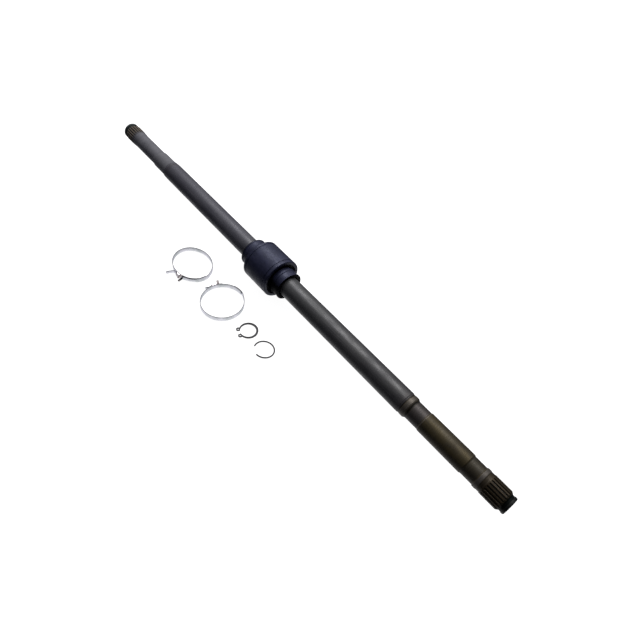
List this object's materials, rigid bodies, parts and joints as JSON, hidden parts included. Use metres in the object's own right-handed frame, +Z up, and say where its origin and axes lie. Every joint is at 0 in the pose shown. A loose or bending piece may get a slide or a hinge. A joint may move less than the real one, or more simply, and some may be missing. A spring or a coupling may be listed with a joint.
{
  "type": "drive shaft bar with damper",
  "caption": "Friction-welded tubular half-shaft bar with splined ends, a rubber dynamic damper, and loose band clamps, snap ring and wire circlip.",
  "frame": {"origin": "middle of the bounding box at its lowest level, the surface the damper drum and the loose kit lie on", "axes": "+X along the bar from the outboard end towards the inboard end, +Z up, the loose kit on the -Y side"},
  "size_m": [0.849, 0.1458, 0.0604],
  "materials": {
    "tube_paint": "dark satin paint",
    "stub_steel_outboard": "machined and induction hardened, dark",
    "stub_steel_inboard": "machined and induction hardened, bronze tint",
    "rubber": "moulded, satin",
    "mass_steel": "turned, hidden in the rubber",
    "clamp_steel": "bright stainless strip",
    "buckle_steel": "pressed stainless",
    "ring_steel": "phosphated spring steel"
  },
  "bodies": {
    "shaft": {"tube": "tube_paint", "outboard_stub": "stub_steel_outboard", "inboard_stub": "stub_steel_inboard"},
    "damper": {"damper_rubber": "rubber"},
    "mass_ring": {"damper_mass_ring": "mass_steel"},
    "clamp_a": {"clamp_a_band": "clamp_steel", "clamp_a_buckle": "buckle_steel"},
    "clamp_a_tail": {"clamp_a_tail": "clamp_steel"},
    "clamp_a_lock_tab_lower": {"clamp_a_lock_tab_lower": "buckle_steel"},
    "clamp_a_lock_tab_upper": {"clamp_a_lock_tab_upper": "buckle_steel"},
    "clamp_b": {"clamp_b_band": "clamp_steel", "clamp_b_buckle": "buckle_steel"},
    "clamp_b_tail": {"clamp_b_tail": "clamp_steel"},
    "clamp_b_lock_tab_lower": {"clamp_b_lock_tab_lower": "buckle_steel"},
    "clamp_b_lock_tab_upper": {"clamp_b_lock_tab_upper": "buckle_steel"},
    "snap_ring": {"snap_ring": "ring_steel"},
    "circlip": {"wire_circlip": "ring_steel"}
  },
  "joints": [
    {"name": "damper_slide", "type": "slide", "parent": "shaft", "child": "damper", "axis": [1, 0, 0], "range_m": [-0.229, 0.231]},
    {"name": "mass_ring_twist", "type": "hinge", "parent": "damper", "child": "mass_ring", "pos_m": [-0.007, 0.0427, 0.0302], "axis": [1, 0, 0], "range_deg": [-3, 3], "stiffness_Nm_per_rad": 20},
    {"name": "clamp_a_lift", "type": "slide", "parent": "shaft", "child": "clamp_a", "axis": [0, 0, 1], "range_m": [0, 0.08]},
    {"name": "clamp_a_tail_fold", "type": "hinge", "parent": "clamp_a", "child": "clamp_a_tail", "pos_m": [-0.09985, -0.06233, 0.0035], "axis": [0, 0, 1], "range_deg": [0, 114]},
    {"name": "clamp_a_lock_tab_lower_fold", "type": "hinge", "parent": "clamp_a", "child": "clamp_a_lock_tab_lower", "pos_m": [-0.08405, -0.06273, 0.0003], "axis": [-0.9522, -0.3054, 0], "range_deg": [0, 90]},
    {"name": "clamp_a_lock_tab_upper_fold", "type": "hinge", "parent": "clamp_a", "child": "clamp_a_lock_tab_upper", "pos_m": [-0.08405, -0.06273, 0.0067], "axis": [0.9522, 0.3054, 0], "range_deg": [0, 90]},
    {"name": "clamp_b_lift", "type": "slide", "parent": "shaft", "child": "clamp_b", "axis": [0, 0, 1], "range_m": [0, 0.08]},
    {"name": "clamp_b_tail_fold", "type": "hinge", "parent": "clamp_b", "child": "clamp_b_tail", "pos_m": [-0.04595, -0.0386, 0.0035], "axis": [0, 0, -1], "range_deg": [0, 141]},
    {"name": "clamp_b_lock_tab_lower_fold", "type": "hinge", "parent": "clamp_b", "child": "clamp_b_lock_tab_lower", "pos_m": [-0.04595, -0.02245, 0.0003], "axis": [0.3736, 0.9276, 0], "range_deg": [0, 90]},
    {"name": "clamp_b_lock_tab_upper_fold", "type": "hinge", "parent": "clamp_b", "child": "clamp_b_lock_tab_upper", "pos_m": [-0.04595, -0.02245, 0.0067], "axis": [-0.3736, -0.9276, 0], "range_deg": [0, 90]},
    {"name": "snap_ring_lift", "type": "slide", "parent": "shaft", "child": "snap_ring", "axis": [0, 0, 1], "range_m": [0, 0.08]},
    {"name": "circlip_lift", "type": "slide", "parent": "shaft", "child": "circlip", "axis": [0, 0, 1], "range_m": [0, 0.08]}
  ]
}
